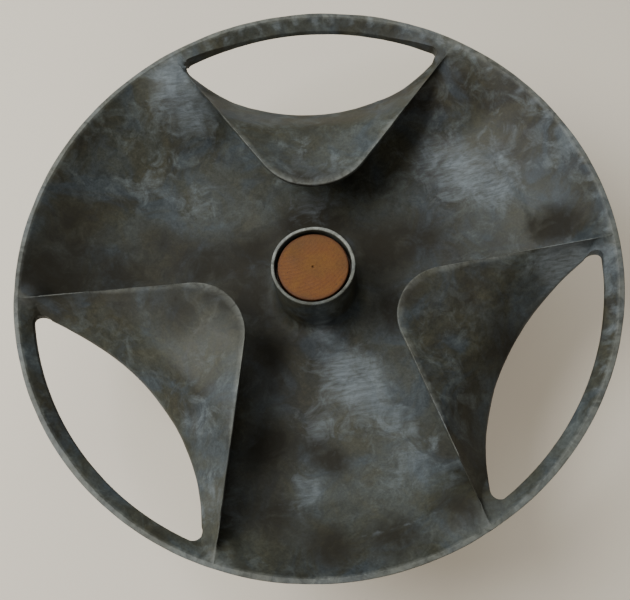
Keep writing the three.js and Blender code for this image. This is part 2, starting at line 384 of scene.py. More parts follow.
def leg_outline():
    """From the block along the arch to the sole, round the toe, and back along the top."""
    sole = pad_t + gap
    inner = block_flat + gap
    arch_z = 14 * mm
    toe_r = 10 * mm
    outline = [(inner, arch_z)]
    outline += curve_points((inner, arch_z), (130 * mm, 18 * mm), (184 * mm, sole + 4 * mm), 20)
    outline += [(190 * mm, sole), (leg_end - 2 * mm, sole)]
    toe = Vector((leg_end - toe_r, sole + toe_r))
    outline += corner(toe.x, toe.y, toe_r, -45, 90, 13)
    outline += curve_points(outline[-1], (150 * mm, 31 * mm), (inner, 50 * mm), 24)
    return outline


def slab_mesh(name, outline, width):
    """An upright outline of (x, z) points given a width across."""
    count = len(outline)
    points = [(x, side * width / 2, z) for side in (-1, 1) for x, z in outline]
    faces = [list(range(count)), list(range(2 * count - 1, count - 1, -1))]
    for i in range(count):
        j = (i + 1) % count
        faces.append([i, count + i, count + j, j])
    mesh = mesh_of(name, points, faces)
    face_out(mesh)
    return mesh


def keep_place(mesh):
    """Stores each point's place on the piece before it is set round the axis, for the grain to follow."""
    grain = mesh.attributes.new("grain", "FLOAT_VECTOR", "POINT")
    for point, vertex in zip(grain.data, mesh.vertices):
        point.vector = vertex.co


def around_axis_tree():
    """Copies a piece round the Z axis: inputs are the piece, how many, the first angle and the material."""
    tree = bpy.data.node_groups.new("around_axis", "GeometryNodeTree")
    face = tree.interface
    face.new_socket("Geometry", in_out="INPUT", socket_type="NodeSocketGeometry")
    face.new_socket("Count", in_out="INPUT", socket_type="NodeSocketInt")
    face.new_socket("First Angle", in_out="INPUT", socket_type="NodeSocketFloat")
    face.new_socket("Material", in_out="INPUT", socket_type="NodeSocketMaterial")
    face.new_socket("Geometry", in_out="OUTPUT", socket_type="NodeSocketGeometry")
    make = tree.nodes.new
    link = tree.links.new
    given = make("NodeGroupInput")
    line = make("GeometryNodeMeshLine")
    line.inputs["Offset"].default_value = (0, 0, 0)
    link(given.outputs["Count"], line.inputs["Count"])
    index = make("GeometryNodeInputIndex")
    step = make("ShaderNodeMath")
    step.operation = "DIVIDE"
    step.inputs[0].default_value = 2 * math.pi
    link(given.outputs["Count"], step.inputs[1])
    angle = make("ShaderNodeMath")
    angle.operation = "MULTIPLY_ADD"
    link(index.outputs[0], angle.inputs[0])
    link(step.outputs[0], angle.inputs[1])
    link(given.outputs["First Angle"], angle.inputs[2])
    turn = make("ShaderNodeCombineXYZ")
    link(angle.outputs[0], turn.inputs["Z"])
    place = make("GeometryNodeInstanceOnPoints")
    link(line.outputs["Mesh"], place.inputs["Points"])
    link(given.outputs["Geometry"], place.inputs["Instance"])
    link(turn.outputs[0], place.inputs["Rotation"])
    real = make("GeometryNodeRealizeInstances")
    link(place.outputs[0], real.inputs[0])
    paint = make("GeometryNodeSetMaterial")
    link(real.outputs[0], paint.inputs["Geometry"])
    link(given.outputs["Material"], paint.inputs["Material"])
    out = make("NodeGroupOutput")
    link(paint.outputs[0], out.inputs[0])
    return tree


around_axis = around_axis_tree()


def set_round(piece):
    """Repeats a piece at the three legs and turns the result into a plain mesh."""
    material = piece.data.materials[0]
    change = piece.modifiers.new("around", "NODES")
    change.node_group = around_axis
    values = {"Count": len(leg_angles), "First Angle": math.radians(leg_angles[0]), "Material": material}
    for item in around_axis.interface.items_tree:
        if item.in_out == "INPUT" and item.name in values:
            change[item.identifier] = values[item.name]
    settle(piece)


legs = new_piece("legs", slab_mesh("legs", leg_outline(), leg_w), leg_wood)
tenon = box_mesh(
    "tenon",
    (leg_tenon_in, -leg_tenon_w / 2, leg_tenon_z[0]),
    (block_flat + 5 * mm, leg_tenon_w / 2, leg_tenon_z[1]),
)
cut(legs, [tenon], "UNION")
leg_holes = []
for radius, out, high in ((leg_peg_r, leg_peg_out, 80 * mm), (pad_peg_r, pad_out, 20 * mm)):
    hole = rod_mesh("hole", radius + gap, 0, high, 24)
    hole.transform(Matrix.Translation((out, 0, 0)))
    leg_holes.append(hole)
cut(legs, leg_holes)
ease_edges(legs, 2.2 * mm, 4)
keep_place(legs.data)
set_round(legs)
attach(legs, "stand")
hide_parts("leg_1", "leg_2", "leg_3")

# -----------------------------------------------------------------------------
# Leg pegs, foot pads and pad pegs
# Knife-cut pegs of paler wood lock the leg tenons in the block. A disc of thick leather under each toe is
# held by one peg of its own, sunk below the sole. All are made once and set round the axis like the legs.
# -----------------------------------------------------------------------------
peg_wood = long_grain("peg_wood", (0.2, 0.11, 0.05), (0.44, 0.28, 0.14), along=2, attribute="grain")


def whittled_peg(name, radius, low, high, sides, tip):
    """A peg with knife facets and a chamfered top."""
    profile = [(0, low), (radius * 0.8, low), (radius, low + tip)]
    profile += [(radius, high - tip), (radius * 0.82, high), (0, high)]
    return turned_mesh(name, profile, sides)


def greased_leather(name):
    """Thick vegetable-tanned leather, dark with grease: fine pebbled grain and worn, paler patches."""
    hide = Nodes(name, 0.55)
    place = hide.place()
    patches = hide.noise(place, 45, 4, 0.6)
    pebble = hide.noise(place, 900, 2, 0.5)
    creases = hide.noise(place, 240, 5, 0.65, 1.2)
    colour = hide.ramp(patches, [(0.3, (0.035, 0.019, 0.011)), (0.7, (0.105, 0.058, 0.032))])
    colour = hide.mix(0.6, colour, hide.ramp(creases, [(0.3, 0.6), (0.6, 1.0)]), "MULTIPLY")
    rough = hide.ramp(patches, [(0.3, 0.42), (0.7, 0.66)])
    height = hide.math("ADD", pebble, creases)
    return hide.finish(colour, rough, hide.bump(height, 0.5, 0.0003))


leather = greased_leather("greased_leather")

leg_pegs = new_piece(
    "leg_pegs",
    whittled_peg("leg_pegs", leg_peg_r, leg_tenon_z[0] - 2 * mm, block_high.z - 0.5 * mm, 14, 1.2 * mm),
    peg_wood,
)
pad_hole_r = pad_peg_r + gap
pad_soft = 0.6 * mm
pad_profile = [(pad_hole_r, pad_soft), (pad_hole_r + pad_soft, 0), (15.5 * mm, 0), (16.7 * mm, 0.8 * mm)]
pad_profile += [(17 * mm, 2.2 * mm), (16.8 * mm, 3.8 * mm), (16 * mm, pad_t)]
pad_profile += [(pad_hole_r + pad_soft, pad_t), (pad_hole_r, pad_t - pad_soft)]
pads = new_piece("foot_pads", turned_mesh("foot_pads", pad_profile, 64), leather)
pad_peg_mesh = whittled_peg("pad_pegs", pad_peg_r, 1.5 * mm, 19 * mm, 12, 0.8 * mm)
pad_pegs = new_piece("pad_pegs", pad_peg_mesh, peg_wood)
pegs_and_pads = (
    (leg_pegs, leg_peg_out, "leg_peg_{}", "peg_wood"),
    (pads, pad_out, "foot_pad_{}", "leather"),
    (pad_pegs, pad_out, "pad_peg_{}", "peg_wood"),
)
for piece, out, node, slot in pegs_and_pads:
    piece.data.transform(Matrix.Translation((out, 0, 0)))
    keep_place(piece.data)
    set_round(piece)
    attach(piece, "stand")
    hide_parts(*(node.format(i) for i in (1, 2, 3)))

# -----------------------------------------------------------------------------
# Post
# One turned piece of orange-brown wood. Its end, with growth rings and the lathe's centre mark, shows in the
# hub; the shoulder below carries the wheel, and the tenon goes through the block.
# -----------------------------------------------------------------------------
post_low, post_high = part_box("post")
post_r = 36 * mm
shoulder_r = 56 * mm
shoulder_z = (72.3 * mm, 90 * mm)
kerf_w = 4 * mm
kerf_reach = 40 * mm
kerf_up = 30 * mm
centre_mark_r = 1.3 * mm


def post_profile():
    """From the tenon's lower end up over the shoulder to the post's end, and in to its centre mark."""
    top = post_high.z
    low_round = 3 * mm
    top_round = 1.2 * mm
    mark_edge = 2 * centre_mark_r
    outline = [(0, post_low.z), (tenon_r - 1 * mm, post_low.z), (tenon_r, post_low.z + 1 * mm)]
    outline += [(tenon_r, shoulder_z[0]), (shoulder_r - low_round, shoulder_z[0])]
    outline += corner(shoulder_r - low_round, shoulder_z[0] + low_round, low_round, -90, 0, 7)
    # Two shallow beads decorate the shoulder.
    bead_h = shoulder_z[1] - shoulder_z[0] - 5 * mm
    for i in range(1, 24):
        t = i / 24
        dip = 0.7 * mm * abs(math.sin(2 * math.pi * t))
        outline.append((shoulder_r - dip, shoulder_z[0] + low_round + t * bead_h))
    outline += [(shoulder_r - 0.6 * mm, shoulder_z[1] - 0.8 * mm), (shoulder_r - 2 * mm, shoulder_z[1])]
    outline += [(post_r + 1.5 * mm, shoulder_z[1]), (post_r + 0.4 * mm, shoulder_z[1] + 0.4 * mm)]
    outline += [(post_r, shoulder_z[1] + 1.5 * mm)]
    for i in range(1, 20):
        outline.append((post_r, shoulder_z[1] + i / 20 * (top - 1 * mm - shoulder_z[1])))
    outline += corner(post_r - top_round, top - top_round, top_round, 0, 90, 7)
    for i in range(1, 40):
        outline.append((post_r - top_round - i / 40 * (post_r - top_round - mark_edge), top))
    for i in range(9):
        t = i / 8
        outline.append((mark_edge * (1 - t), top - 1.6 * mm * max(0, (t - 0.4) / 0.6) ** 0.7))
    return outline


def end_grain():
    """Turned wood: rings, patches and flecks on the end, long grain on the sides, painted shade round the
    end's edge and in its centre mark.
    """
    wood = Nodes("post_wood", 0.55)
    tree = wood.tree
    place = wood.place()
    # The heart of the tree lay beside the post's middle, so the rings are off centre and a little oval.
    moved = tree.nodes.new("ShaderNodeMapping")
    tree.links.new(place, moved.inputs["Vector"])
    moved.inputs["Location"].default_value = (0.021, -0.052, 0)
    moved.inputs["Scale"].default_value = (1.0, 0.86, 0.02)
    wobble = wood.noise(moved.outputs["Vector"], 22, 3, 0.5)
    rings = tree.nodes.new("ShaderNodeTexWave")
    rings.wave_type = "RINGS"
    rings.rings_direction = "Z"
    rings.wave_profile = "SAW"
    rings.inputs["Scale"].default_value = 95
    rings.inputs["Distortion"].default_value = 2.2
    rings.inputs["Detail"].default_value = 3
    rings.inputs["Detail Scale"].default_value = 0.6
    tree.links.new(moved.outputs["Vector"], rings.inputs["Vector"])
    pores = wood.noise(wood.place((1, 1, 0.03)), 1500, 2, 0.5)
    fine = wood.noise(wood.place((1, 1, 0.04)), 420, 4, 0.6)
    cloud = wood.noise(place, 42, 4, 0.55)
    ring_stops = [(0.0, (0.098, 0.033, 0.002)), (0.75, (0.110, 0.038, 0.003)), (1.0, (0.086, 0.028, 0.002))]
    colour = wood.ramp(rings.outputs["Fac"], ring_stops)
    colour = wood.mix(wood.ramp(cloud, [(0.44, 0.0), (0.62, 0.75)]), colour, (0.118, 0.050, 0.007))
    colour = wood.mix(wood.ramp(wobble, [(0.48, 0.0), (0.68, 0.6)]), colour, (0.062, 0.029, 0.004))
    fleck = wood.noise(place, 330, 2, 0.5)
    colour = wood.mix(wood.ramp(fleck, [(0.66, 0.0), (0.74, 0.8)]), colour, (0.045, 0.014, 0.003))
    fine_dark = wood.ramp(fine, [(0.3, (0.7, 0.62, 0.55)), (0.62, 1.0)])
    colour = wood.mix(0.55, colour, fine_dark, "MULTIPLY")
    pore_dark = wood.ramp(pores, [(0.34, (0.45, 0.36, 0.3)), (0.46, 1.0)])
    colour = wood.mix(0.6, colour, pore_dark, "MULTIPLY")
    # Painted shade darkens the rim of the end and the post's sides below it, where they stand down in the
    # bore.
    x, y, _ = wood.split(place)
    square = wood.math("ADD", wood.math("POWER", x, 2.0), wood.math("POWER", y, 2.0))
    radius = wood.math("SQRT", square)
    edge = wood.math("ADD", radius, wood.math("MULTIPLY", wood.math("SUBTRACT", cloud, 0.5), 0.006))
    scale = wood.math("DIVIDE", edge, post_r)
    colour = wood.mix(wood.ramp(scale, [(0.9, 0.0), (0.99, 0.9)]), colour, (0.05, 0.016, 0.004))
    # Painted shade: the centre mark's hollow is painted dark.
    middle = wood.ramp(scale, [(0.025, 0.9), (0.06, 0.0)])
    colour = wood.mix(middle, colour, (0.05, 0.02, 0.01))
    wood.shader.inputs["Specular IOR Level"].default_value = 0.22
    rough = wood.ramp(cloud, [(0.3, 0.55), (0.7, 0.72)])
    height = wood.math("MULTIPLY", rings.outputs["Fac"], 0.35)
    height = wood.math("ADD", height, wood.math("ADD", pores, fine))
    return wood.finish(colour, rough, wood.bump(height, 0.35, 0.0004))


post_wood = end_grain()
post = new_piece("turned_post", turned_mesh("turned_post", post_profile(), 128), post_wood)
kerf_low = (-kerf_reach, -kerf_w / 2, post_low.z - tool_over)
kerf_high = (kerf_reach, kerf_w / 2, post_low.z + kerf_up)
cut(post, [pin_hole(), box_mesh("kerf", kerf_low, kerf_high)])
post.data.shade_smooth()
post.data.set_sharp_from_angle(angle=math.radians(40))
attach(post, "stand")
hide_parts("post")

# -----------------------------------------------------------------------------
# Cross pin and wedge
# A whittled pin goes through the block and the post's tenon, and a thin wedge spreads the tenon from below.
# Both are the pegs' pale wood, driven in dry.
# -----------------------------------------------------------------------------
pin_half = block_flat - 2 * mm
pin_mesh = whittled_peg("cross_pin", pin_r, -pin_half, pin_half, 16, 1.5 * mm)
keep_place(pin_mesh)
pin_mesh.transform(pin_place)
cross_pin = new_piece("cross_pin", pin_mesh, peg_wood)
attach(cross_pin, "stand")
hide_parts("post_pin")

wedge_low, wedge_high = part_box("post_wedge")


def wedge_mesh():
    """Thick at its driven end, below, and thin at the top."""
    half_x = (wedge_high.x - wedge_low.x) / 2
    half_y = (wedge_high.y - wedge_low.y) / 2
    thin = half_y - 0.9 * mm
    points = []
    for z, y in ((wedge_low.z, half_y), (wedge_high.z, thin)):
        points += [(-half_x, -y, z), (half_x, -y, z), (half_x, y, z), (-half_x, y, z)]
    faces = [[3, 2, 1, 0], [4, 5, 6, 7]]
    faces += [[i, (i + 1) % 4, 4 + (i + 1) % 4, 4 + i] for i in range(4)]
    return mesh_of("tenon_wedge", points, faces)


wedge = new_piece("tenon_wedge", wedge_mesh(), peg_wood)
ease_edges(wedge, 0.4 * mm, 2)
keep_place(wedge.data)
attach(wedge, "stand")
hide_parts("post_wedge")

# -----------------------------------------------------------------------------
# Thrust washer, wear ring and sleeves
# The greased leather washer lies on the post's shoulder. The hardwood wear ring above it is glued under the
# stone foot. Two leather sleeves are glued into the bore, and the post runs in them.
# -----------------------------------------------------------------------------
ring_wood = long_grain("ring_wood", (0.2, 0.11, 0.05), (0.44, 0.28, 0.14), along=0)


def soft_ring(name, inner, low, high, round_r):
    """A flat ring with rounded edges; its outside comes from the frame's box."""
    outer = high.x
    profile = []
    corners = ((inner, low.z, 180), (outer, low.z, 270), (outer, high.z, 0), (inner, high.z, 90))
    for x, z, first in corners:
        side_x = 1 if x == inner else -1
        side_z = 1 if z == low.z else -1
        profile += corner(x + side_x * round_r, z + side_z * round_r, round_r, first, first + 90, 5)
    return turned_mesh(name, profile, 128)


rings = (
    ("leather_washer", "thrust_washer", "stand", post_r + 1 * mm, 0.8 * mm, leather, "leather"),
    ("hardwood_ring", "wear_ring", "wheel", post_r + 1.5 * mm, 0.6 * mm, ring_wood, "peg_wood"),
    ("upper_sleeve", "upper_bush", "wheel", 36.4 * mm, 0.7 * mm, leather, "leather"),
    ("lower_sleeve", "lower_bush", "wheel", 36.4 * mm, 0.7 * mm, leather, "leather"),
)
for name, node, body, inner, round_r, material, slot in rings:
    low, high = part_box(node)
    piece = new_piece(name, soft_ring(name, inner, low, high, round_r), material)
    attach(piece, body)
    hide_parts(node)

# -----------------------------------------------------------------------------
# Wheel head
# One piece of dark mottled schist, carved and rubbed smooth: a thin dish with a tube in the middle and a boss
# below. In three places the wall is folded in over the floor as a tongue, and a narrow ring goes on round it.
# -----------------------------------------------------------------------------
head_low, head_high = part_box("wheel_head")
rim_r = head_high.x
rim_z = head_high.z
foot_z = head_low.z
rim_land = 5 * mm
dish_depth = 74 * mm
floor_t = 8 * mm
dish_start = 45 * mm
wall_power = 3.5
under_power = wall_power + 0.1
bore_r = 39 * mm
hub_r = 42.5 * mm
ring_in_r = 289 * mm
foot_r = 58 * mm
nose_arc_r = 240 * mm
end_round = 8 * mm
nose_rise = 15 * mm
nose_bulge = 6 * mm
tongue_t = 5.5 * mm
steep_slope = 0.92
field_slope = 0.25
web_in_r = 150 * mm
web_fill = 0.93
# Each lobe: the circle that rounds its tip (direction, distance, radius), where its free edge meets the rim,
# the direction and distance of its fold, and how far from each end the edge sinks into the wall. Angles in
# degrees. The lobes differ because they are carved by eye.
lobe_values = (
    ((80, 156 * mm, 66 * mm), (49, 112), (81, 200 * mm), (84 * mm, 92 * mm)),
    ((200.3, 140 * mm, 55 * mm), (175.4, 243.2), (208.6, 198 * mm), (26 * mm, 26 * mm)),
    ((328, 143 * mm, 50 * mm), (292, 355.1), (324.4, 205 * mm), (58 * mm, 30 * mm)),
)
lobes = [dict(zip(("tip", "ends", "nose", "web"), values)) for values in lobe_values]


def polar(radius, degrees):
    return np.array([radius * math.cos(math.radians(degrees)), radius * math.sin(math.radians(degrees))])


def inside_z(radius):
    t = np.clip((radius - dish_start) / (rim_r - rim_land - dish_start), 0, None)
    return rim_z - dish_depth * (1 - t**wall_power)


def underside_z(radius):
    t = np.clip((radius - dish_start) / (rim_r - dish_start), 0, None)
    return rim_z - (dish_depth + floor_t) * (1 - t**under_power)


def wall_middle_z(radius):
    return (inside_z(radius) + underside_z(radius)) / 2


def dish_profile():
    """Up the bore, over the hub's lip, down to the floor, out to the rim, and back underneath to the foot."""
    floor_z = rim_z - dish_depth
    lip = 1.2 * mm
    outline = [(bore_r, z) for z in np.linspace(foot_z + 1 * mm, rim_z - 1.5 * mm, 16)]
    outline += corner(bore_r + lip, rim_z - lip, lip, 180, 90)
    outline += corner(hub_r - lip, rim_z - lip, lip, 90, 0)
    flare = 13 * mm
    for t in np.linspace(0.03, 1, 16):
        outline.append((hub_r + 0.6 * mm * t, rim_z - lip - t * (dish_depth - lip - flare)))
    for angle in np.linspace(180, 270, 14)[1:]:
        a = math.radians(angle)
        outline.append((hub_r + 0.6 * mm + flare * (1 + math.cos(a)), floor_z + flare * (1 + math.sin(a))))
    inside = np.concatenate([np.linspace(60, 200, 26), np.linspace(203, 298.5, 44)]) * mm
    outline += [(r, inside_z(r)) for r in inside]
    outline += corner(rim_r - rim_land + 0.7 * mm, rim_z - 0.9 * mm, 0.9 * mm, 150, 90, 5)
    outline += corner(rim_r - 1.0 * mm, rim_z - 1.0 * mm, 1.0 * mm, 90, -30, 7)
    under = np.concatenate([np.linspace(303, 203, 44), np.linspace(198, 78, 24)]) * mm
    outline += [(r, underside_z(r)) for r in under]
    for angle in np.linspace(90, 180, 10)[1:]:
        a = math.radians(angle)
        outline.append((foot_r + 13 * mm * (1 + math.cos(a)), foot_z + 2 * mm + 13 * mm * math.sin(a)))
    outline += corner(foot_r - 1.2 * mm, foot_z + 1.2 * mm, 1.2 * mm, 0, -90)
    outline += corner(bore_r + 1.0 * mm, foot_z + 1.0 * mm, 1.0 * mm, -90, -180)
    return outline


def arc(middle, radius, first, last, steps):
    """Points along an arc in plan, between two directions in radians."""
    turn = np.linspace(first, last, steps)
    return [(middle[0] + radius * math.cos(a), middle[1] + radius * math.sin(a)) for a in turn]


def end_middle(lobe):
    """Where an opening's end rounding has its middle: along the lobe's direction, and to either side."""
    away = lobe["nose"][1] + nose_arc_r
    ring_reach = ring_in_r - end_round
    nose_reach = nose_arc_r - end_round
    ahead = (away**2 + ring_reach**2 - nose_reach**2) / (2 * away)
    return ahead, math.sqrt(ring_reach**2 - ahead**2)


def opening_ends(lobe):
    """Two round tools that take off what the tongue leaves standing in the rounded ends of its opening."""
    ahead, across = end_middle(lobe)
    tools = []
    for side in (-across, across):
        tool = rod_mesh("opening_end", end_round, foot_z, rim_z + tool_over, 64)
        tool.transform(Matrix.Translation((ahead, side, 0)))
        tool.transform(Matrix.Rotation(math.radians(lobe["nose"][0]), 4, "Z"))
        tools.append(tool)
    return tools


def opening_mesh(lobe):
    """The lens between the ring and the fold, its ends rounded, as a tool that goes through the wall."""
    direction, distance = lobe["nose"]
    away = distance + nose_arc_r
    ahead, across = end_middle(lobe)
    ring_half = math.atan2(across, ahead)
    nose_half = math.atan2(across, away - ahead)
    outline = arc((0, 0), ring_in_r, -ring_half, ring_half, 140)[:-1]
    outline += arc((ahead, across), end_round, ring_half, math.pi - nose_half, 16)[:-1]
    outline += arc((away, 0), nose_arc_r, math.pi - nose_half, math.pi + nose_half, 140)[:-1]
    outline += arc((ahead, -across), end_round, math.pi + nose_half, 2 * math.pi - ring_half, 16)[:-1]
    size = len(outline)
    points = [(x, y, z) for z in (foot_z, rim_z + tool_over) for x, y in outline]
    faces = [list(range(size))[::-1], list(range(size, 2 * size))]
    faces += [[k, (k + 1) % size, size + (k + 1) % size, size + k] for k in range(size)]
    mesh = mesh_of("opening", points, faces)
    mesh.transform(Matrix.Rotation(math.radians(direction), 4, "Z"))
    face_out(mesh)
    return mesh


def along(points, count):
    """Evenly spaced points on a line of points."""
    steps = np.linalg.norm(np.diff(points, axis=0), axis=1)
    travel = np.concatenate([[0], np.cumsum(steps)])
    even = np.linspace(0, travel[-1], count)
    return np.stack([np.interp(even, travel, points[:, i]) for i in range(points.shape[1])], axis=1)


def free_edge(lobe, count):
    """The tongue's edge in plan: a straight side, the round tip, and the other straight side."""
    direction, distance, radius = lobe["tip"]
    middle = polar(distance, direction)
    sides = []
    for end, sign in zip(lobe["ends"], (-1, 1)):
        start = polar(rim_r - 2 * mm, end)
        reach = start - middle
        length = np.hypot(*reach)
        sides.append((start, math.atan2(reach[1], reach[0]) + sign * math.acos(radius / length)))
    first, last = sides[0][1], sides[1][1]
    while last > first:
        last -= 2 * math.pi
    turn = np.linspace(first, last, 80)
    tip = middle + radius * np.stack([np.cos(turn), np.sin(turn)], axis=1)
    return along(np.vstack([[sides[0][0]], tip, [sides[1][0]]]), count)


def nose_line(lobe, count):
    """The fold in plan, from the ring on one side to the ring on the other."""
    direction, distance = lobe["nose"]
    out = distance + nose_arc_r
    reach = rim_r - 9 * mm
    across = (out**2 + reach**2 - nose_arc_r**2) / (2 * out)
    half = math.asin(math.sqrt(reach**2 - across**2) / nose_arc_r)
    turn = math.radians(direction + 180) + np.linspace(half, -half, count)
    return polar(out, direction) + nose_arc_r * np.stack([np.cos(turn), np.sin(turn)], axis=1)


def tongue_mesh(lobe):
    """Sections along the tongue, each from under the fold, round its nose, up the outside and back inside."""
    count = 200
    edge = free_edge(lobe, count)
    nose = nose_line(lobe, count)
    face = np.linspace(0, 1, 44)
    rows = []
    for i in range(count):
        u = i / (count - 1)
        start, end = nose[i], edge[i]
        reach = np.hypot(*(end - start))
        inward = (end - start) / reach
        swell = 1 - (2 * u - 1) ** 2
        radius = np.hypot(*start)
        under = underside_z(radius + 2 * mm) + 0.4 * mm
        fold = min(inside_z(radius) + nose_rise * swell, rim_z - 5 * mm)
        # The outer face is a steep strip by the fold and a flatter field beyond, with a soft crease between.
        steep = fold + steep_slope * face * reach
        flat = rim_z - field_slope * (1 - face) * reach
        soft = 3 * mm
        top = -soft * np.log(np.exp(-steep / soft) + np.exp(-flat / soft))
        top = np.minimum(top + (rim_z - top[-1]) * face**6, rim_z)
        thick = tongue_t * (1 + 0.5 * (1 - face))
        section = []
        bulge = nose_bulge * swell
        for angle in np.linspace(-90, 60, 12):
            a = math.radians(angle)
            middle = (under + fold) / 2
            half_h = (fold - under) / 2
            out = start - inward * bulge * math.cos(a)
            section.append((out[0], out[1], middle + half_h * math.sin(a)))
        for w, z in zip(face[1:-1], top[1:-1]):
            p = start + (end - start) * w
            section.append((p[0], p[1], z))
        for angle in np.linspace(90, -90, 9):
            a = math.radians(angle)
            p = end - inward * (1.2 * mm) * (1 - math.cos(a))
            swing = math.copysign(abs(math.sin(a)) ** 0.6, math.sin(a))
            section.append((p[0], p[1], rim_z - tongue_t / 2 + tongue_t / 2 * swing))
        for w, z, t in reversed(list(zip(face[1:-1], top[1:-1], thick[1:-1]))):
            p = start + (end - start) * w
            section.append((p[0], p[1], max(z - t, under)))
        # Where the wall runs out thin under the rim, the tongue stays inside it.
        for k, (x, y, z) in enumerate(section):
            out_r = math.hypot(x, y)
            if out_r > ring_in_r - 4 * mm:
                section[k] = (x, y, max(z, underside_z(out_r) + 0.3 * mm))
        rows.append(section)
    size = len(rows[0])
    points = [p for row in rows for p in row]
    faces = []
    for i in range(count - 1):
        for k in range(size):
            n = (k + 1) % size
            faces.append([i * size + k, i * size + n, (i + 1) * size + n, (i + 1) * size + k])
    faces.append(list(range(size))[::-1])
    faces.append(list(range((count - 1) * size, count * size)))
    mesh = mesh_of("tongue", points, faces)
    face_out(mesh)
    return mesh


def fill_webs(mesh):
    """Raises the inside of the wall at the ends of each free edge, where the stone was left thick."""
    top_z = rim_z - 1.5 * mm
    for vertex in mesh.vertices:
        spot = vertex.co
        radius = math.hypot(spot.x, spot.y)
        if not web_in_r <= radius <= rim_r - rim_land or spot.z < wall_middle_z(radius):
            continue
        for lobe in lobes:
            for end, reach in zip(lobe["ends"], lobe["web"]):
                corner_x, corner_y = polar(rim_r - 12 * mm, end)
                near = max(0.0, 1 - math.hypot(spot.x - corner_x, spot.y - corner_y) / reach)
                near = near * near * (3 - 2 * near)
                if spot.z < top_z:
                    spot.z += (top_z - spot.z) * near * web_fill


def point_places(mesh):
    """Every point of a mesh, as rows of x, y and z."""
    places = np.empty(len(mesh.vertices) * 3)
    mesh.vertices.foreach_get("co", places)
    return places.reshape(-1, 3)


def soften_ends(mesh, passes=70):
    """Rubs the ends of the free edges down, so that each runs out into the wall as a rounded ridge."""
    count = len(mesh.vertices)
    places = point_places(mesh)
    pairs = np.empty(len(mesh.edges) * 2, dtype=np.int32)
    mesh.edges.foreach_get("vertices", pairs)
    pairs = pairs.reshape(-1, 2)
    rub = np.zeros(count)
    radius = np.hypot(places[:, 0], places[:, 1])
    for lobe in lobes:
        for end, reach in zip(lobe["ends"], lobe["web"]):
            middle = polar(rim_r - 12 * mm, end)
            # Near the ring only a short stretch is rubbed, so that the openings keep their cut shape.
            near_ring = [ring_in_r - 40 * mm, ring_in_r - 8 * mm]
            local = np.interp(radius, near_ring, [reach * 1.05, 13 * mm])
            apart = np.hypot(places[:, 0] - middle[0], places[:, 1] - middle[1]) / local
            rub = np.maximum(rub, np.clip(1.25 * (1 - apart), 0, 1))
    rub *= np.clip((rim_r - rim_land - radius) / (5 * mm), 0, 1)
    pairs = pairs[(rub[pairs[:, 0]] > 0) | (rub[pairs[:, 1]] > 0)]
    shared = np.bincount(pairs.ravel(), minlength=count)
    rub = np.where(shared > 0, 0.6 * rub, 0)[:, None]
    for _ in range(passes):
        total = np.zeros((count, 3))
        for axis in range(3):
            total[:, axis] = np.bincount(pairs[:, 0], places[pairs[:, 1], axis], count)
            total[:, axis] += np.bincount(pairs[:, 1], places[pairs[:, 0], axis], count)
        places += rub * (total / np.maximum(shared, 1)[:, None] - places)
    mesh.vertices.foreach_set("co", places.ravel())
    mesh.update()


# Two old flakes came off the wall and left a low step: its radius, first and last direction, and depth.
flakes = [(239 * mm, -6, 34, 1.5 * mm), (261 * mm, -98, -64, 0.9 * mm)]
true_edge = 3 * mm


def carve_marks(mesh):
    """The slight waviness of hand rubbing, and the flakes, kept inside the finished height and width."""
    normals = [vertex.normal.copy() for vertex in mesh.vertices]
    for vertex, normal in zip(mesh.vertices, normals):
        spot = vertex.co
        wave = 0.55 * noise.noise(spot * 22) + 0.22 * noise.noise(spot * 70 + Vector((3, 1, 7)))
        radius = math.hypot(spot.x, spot.y)
        direction = math.degrees(math.atan2(spot.y, spot.x))
        inside = spot.z > wall_middle_z(radius)
        # The bore and the foot's flat seat are true: the sleeves and the wear ring are glued to them.
        off_bore = min(1.0, max(0.0, radius - bore_r) / true_edge)
        off_seat = min(1.0, max(0.0, spot.z - foot_z) / true_edge)
        wave *= off_bore * off_seat
        spot += normal * wave * mm
        for edge, first, last, depth in flakes:
            below = edge + 5 * mm * noise.noise(spot * 30) - radius
            fade = min(direction - first, last - direction) / 8
            if inside and below > 0 and fade > 0:
                spot.z -= depth * min(fade, 1) * math.exp(-below / (16 * mm))
        spot.z = min(spot.z, rim_z)
        over = math.hypot(spot.x, spot.y) / rim_r
        if over > 1:
            spot.x /= over
            spot.y /= over
